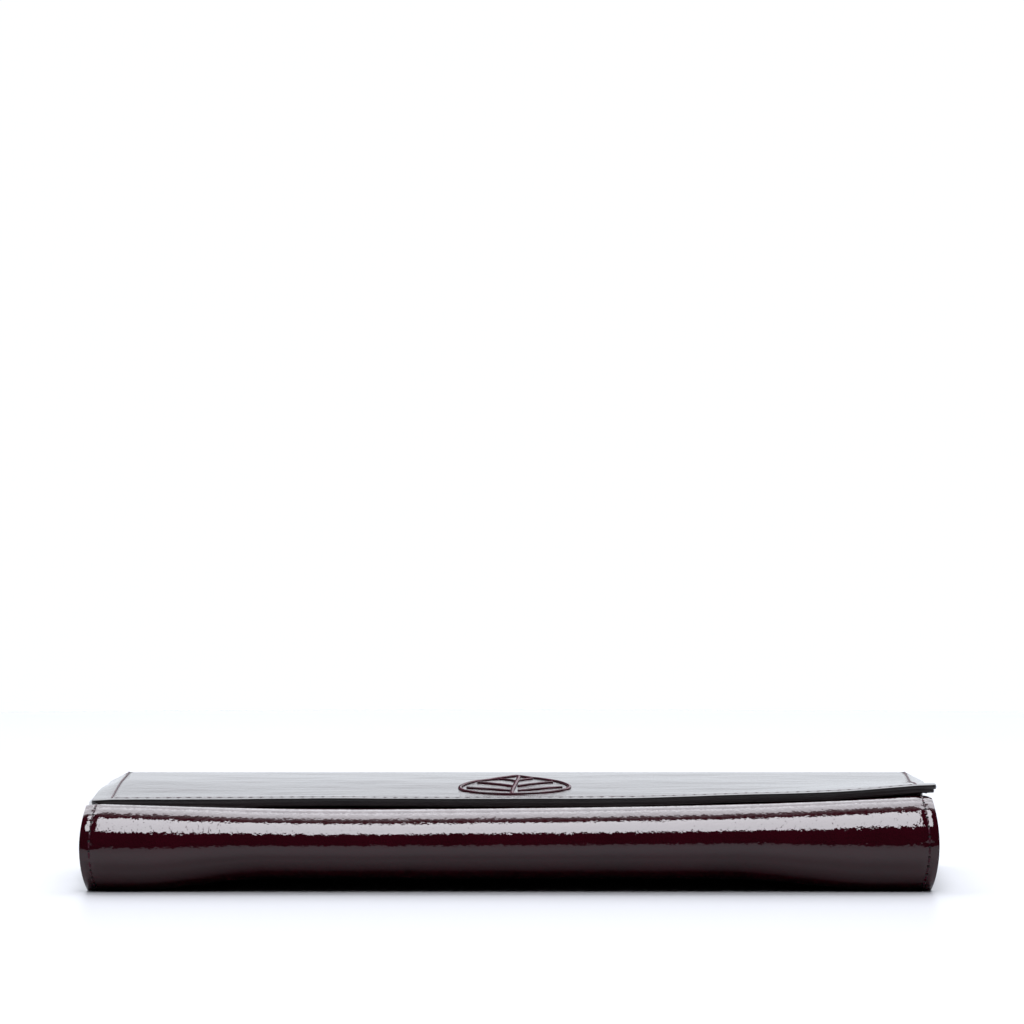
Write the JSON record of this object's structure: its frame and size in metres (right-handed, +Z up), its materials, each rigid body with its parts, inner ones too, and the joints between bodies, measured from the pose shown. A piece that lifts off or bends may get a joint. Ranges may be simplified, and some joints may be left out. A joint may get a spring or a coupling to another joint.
{
  "type": "long wallet",
  "caption": "Long flap wallet with a rolled bottom edge, gusseted note compartments, a zipped coin pocket, card pockets and a press stud.",
  "frame": {"origin": "under the middle of the closed wallet, on the surface that its back panel lies on", "axes": "+X along the wallet, +Y from the rolled bottom edge to the fold of the flap, +Z up out of the flap"},
  "size_m": [0.19, 0.105, 0.0235],
  "materials": {
    "patent_leather": "crinkled burgundy patent, high gloss",
    "lining_leather": "smooth black, satin",
    "board": "matt bonded fibre board",
    "zip_tape": "black woven tape",
    "gold_metal": "polished gold plating"
  },
  "bodies": {
    "body": {"outer_back_panel": "patent_leather", "outer_bottom_roll": "patent_leather", "back_stiffener": "board", "back_lining": "lining_leather", "roll_lining": "lining_leather", "card_pocket_rear_row": "lining_leather", "card_pocket_middle_row": "lining_leather", "card_pocket_front_row": "lining_leather", "left_gusset": "patent_leather", "right_gusset": "patent_leather"},
    "front": {"outer_front_panel": "patent_leather", "front_stiffener": "board", "front_lining": "lining_leather", "front_slip_pocket": "lining_leather", "snap_stud": "gold_metal", "snap_stud_washer": "gold_metal"},
    "coin_pocket": {"coin_pocket_rear_wall": "lining_leather", "coin_pocket_front_wall": "lining_leather", "coin_pocket_left_edge": "lining_leather", "coin_pocket_right_edge": "lining_leather", "coin_pocket_bottom_edge": "lining_leather", "zip_tape_rear": "zip_tape", "zip_tape_front": "zip_tape", "zip_teeth_rear": "gold_metal", "zip_teeth_front": "gold_metal", "zip_top_stop": "gold_metal", "zip_bottom_stop": "gold_metal"},
    "slider": {"zip_slider": "gold_metal"},
    "puller": {"zip_puller_link": "gold_metal", "zip_puller_tab": "patent_leather"},
    "spine": {"outer_spine": "patent_leather", "spine_lining": "lining_leather"},
    "flap": {"outer_flap": "patent_leather", "flap_stiffener": "board", "flap_lining": "lining_leather", "snap_socket": "gold_metal", "snap_socket_washer": "gold_metal", "flap_motif": "patent_leather"}
  },
  "joints": [
    {"name": "spine_hinge", "type": "hinge", "parent": "body", "child": "spine", "pos_m": [0, 0.05111, 0.00139], "axis": [-1, 0, 0], "range_deg": [0, 88]},
    {"name": "flap_hinge", "type": "hinge", "parent": "spine", "child": "flap", "pos_m": [0, 0.05111, 0.02151], "axis": [-1, 0, 0], "range_deg": [0, 88]},
    {"name": "front_open", "type": "hinge", "parent": "body", "child": "front", "pos_m": [0, -0.0422, 0.02], "axis": [1, 0, 0], "range_deg": [0, 24]},
    {"name": "coin_open", "type": "hinge", "parent": "body", "child": "coin_pocket", "pos_m": [0, -0.0422, 0.02], "axis": [1, 0, 0], "range_deg": [0, 12]},
    {"name": "zip_slide", "type": "slide", "parent": "coin_pocket", "child": "slider", "axis": [1, 0, 0], "range_m": [0, 0.148]},
    {"name": "puller_swing", "type": "hinge", "parent": "slider", "child": "puller", "pos_m": [-0.074, 0.0335, 0.0105], "axis": [0, 0, 1], "range_deg": [0, 180]}
  ],
  "couplings": [
    {"joint": "flap_hinge", "follows": "spine_hinge", "ratio": 1},
    {"joint": "front_open", "follows": "spine_hinge", "ratio": 0.2726},
    {"joint": "coin_open", "follows": "spine_hinge", "ratio": 0.1363}
  ]
}
